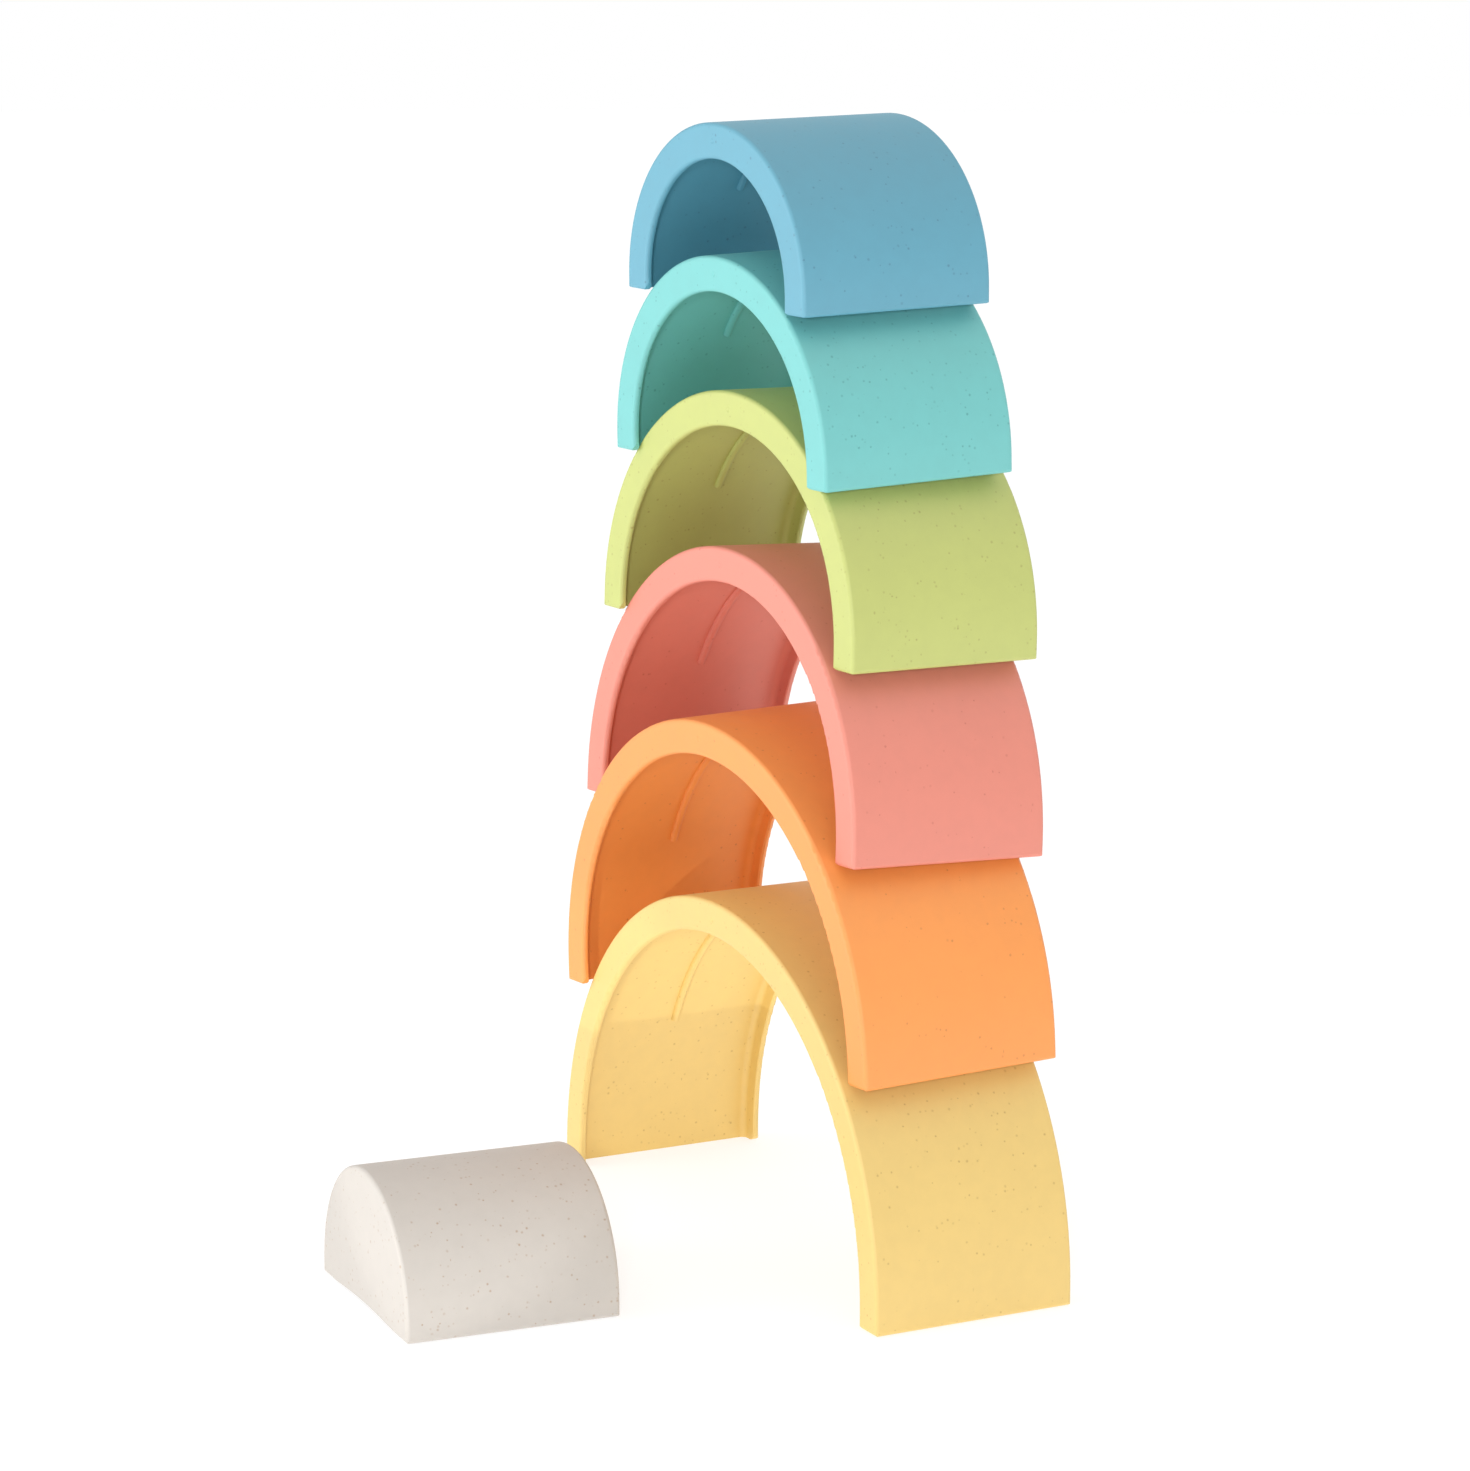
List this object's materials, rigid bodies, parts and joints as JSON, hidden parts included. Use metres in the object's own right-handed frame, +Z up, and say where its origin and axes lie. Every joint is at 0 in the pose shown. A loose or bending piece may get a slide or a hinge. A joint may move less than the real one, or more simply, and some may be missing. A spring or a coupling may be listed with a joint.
{
  "type": "rainbow stacker",
  "caption": "Nesting rainbow toy of flecked matte plastic, its half-round arches stacked astride one another into a tower, with a half-round block beside it.",
  "frame": {"origin": "on the table, in the middle of the sole of the largest arch's left leg", "axes": "+Z up the stack, -Y to the front where the block stands, +X to the right across the arches"},
  "size_m": [0.2, 0.1932, 0.3337],
  "materials": {
    "yellow_plastic": "matte, flecked with fine fibres",
    "orange_plastic": "matte, flecked with fine fibres",
    "pink_plastic": "matte, flecked with fine fibres",
    "lime_plastic": "matte, flecked with fine fibres",
    "turquoise_plastic": "matte, flecked with fine fibres",
    "blue_plastic": "matte, flecked with fine fibres",
    "cream_plastic": "matte, flecked with fine fibres"
  },
  "bodies": {
    "yellow_arch": {"yellow_arch": "yellow_plastic"},
    "orange_arch": {"orange_arch": "orange_plastic"},
    "pink_arch": {"pink_arch": "pink_plastic"},
    "lime_arch": {"lime_arch": "lime_plastic"},
    "turquoise_arch": {"turquoise_arch": "turquoise_plastic"},
    "blue_arch": {"blue_arch": "blue_plastic"},
    "cream_block": {"cream_block": "cream_plastic"}
  },
  "joints": [
    {"name": "orange_lift", "type": "slide", "parent": "yellow_arch", "child": "orange_arch", "axis": [0, 0, 1], "range_m": [0, 0.05]},
    {"name": "pink_lift", "type": "slide", "parent": "orange_arch", "child": "pink_arch", "axis": [0, 0, 1], "range_m": [0, 0.05]},
    {"name": "lime_lift", "type": "slide", "parent": "pink_arch", "child": "lime_arch", "axis": [0, 0, 1], "range_m": [0, 0.05]},
    {"name": "turquoise_lift", "type": "slide", "parent": "lime_arch", "child": "turquoise_arch", "axis": [0, 0, 1], "range_m": [0, 0.05]},
    {"name": "blue_lift", "type": "slide", "parent": "turquoise_arch", "child": "blue_arch", "axis": [0, 0, 1], "range_m": [0, 0.05]},
    {"name": "block_lift", "type": "slide", "parent": "yellow_arch", "child": "cream_block", "axis": [0, 0, 1], "range_m": [0, 0.05]}
  ]
}
